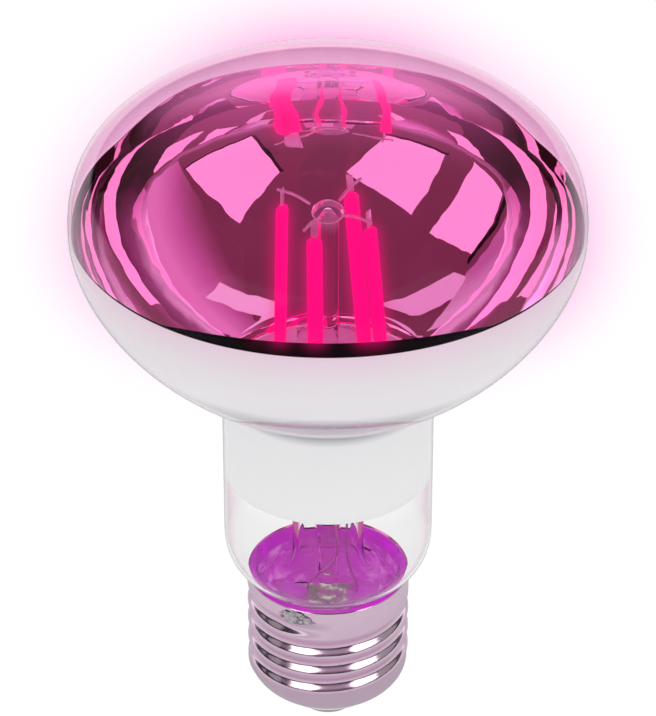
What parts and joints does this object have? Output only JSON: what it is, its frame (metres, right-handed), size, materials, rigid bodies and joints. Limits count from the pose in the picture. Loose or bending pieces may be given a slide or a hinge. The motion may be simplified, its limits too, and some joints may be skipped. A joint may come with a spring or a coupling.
{
  "type": "reflector grow light bulb",
  "caption": "Reflector grow light bulb: mirrored glass bowl with a clear dome, magenta LED filaments on a glass stem, clear lower neck and a threaded metal screw cap.",
  "frame": {"origin": "centre of the centre contact's flat end face, on the bulb's axis", "axes": "+Z along the bulb's axis from the cap to the dome; +Y is the way the picture looks, +X to its right"},
  "size_m": [0.08, 0.08, 0.1126],
  "materials": {
    "clear_glass": "clear blown glass, polished",
    "mirror_coat": "vapour-deposited aluminium, bright inside, soft silver outside",
    "stem_glass": "clear fused glass",
    "filament": "silicone-coated strip of light-emitting diodes, glowing magenta",
    "nickel_wire": "nickel-plated wire and strip",
    "cap_metal": "bright nickel plate on pressed sheet",
    "cap_insulator": "pale moulded insulator",
    "contact_metal": "plated brass contact",
    "basing_cement": "basing cement, purple in the lamp's light",
    "board": "green solder resist on glass laminate",
    "chip_package": "black moulded package",
    "capacitor_sleeve": "shrunk sleeve over an aluminium can",
    "resistor_coat": "baked coat over a wire-wound body",
    "solder": "rough weld spot"
  },
  "bodies": {
    "root": {"glass_envelope": "clear_glass", "reflector_coating": "mirror_coat", "glass_stem": "stem_glass", "exhaust_tube": "stem_glass", "led_filament_1": "filament", "led_filament_2": "filament", "led_filament_3": "filament", "led_filament_4": "filament", "upper_tab_1": "nickel_wire", "upper_tab_2": "nickel_wire", "upper_tab_3": "nickel_wire", "upper_tab_4": "nickel_wire", "lower_tab_1": "nickel_wire", "lower_tab_2": "nickel_wire", "lower_tab_3": "nickel_wire", "lower_tab_4": "nickel_wire", "anchor_wire_1": "nickel_wire", "anchor_wire_2": "nickel_wire", "anchor_wire_3": "nickel_wire", "anchor_wire_4": "nickel_wire", "lower_wire_1": "nickel_wire", "lower_wire_2": "nickel_wire", "lower_wire_3": "nickel_wire", "lower_wire_4": "nickel_wire", "lead_in_wire_1": "nickel_wire", "lead_in_wire_2": "nickel_wire", "side_lead": "nickel_wire", "cap_shell": "cap_metal", "cap_insulator": "cap_insulator", "centre_contact": "contact_metal", "basing_cement": "basing_cement", "driver_board": "board", "bridge_rectifier": "chip_package", "driver_chip": "chip_package", "capacitor": "capacitor_sleeve", "fusible_resistor": "resistor_coat", "side_weld": "solder"}
  },
  "joints": []
}
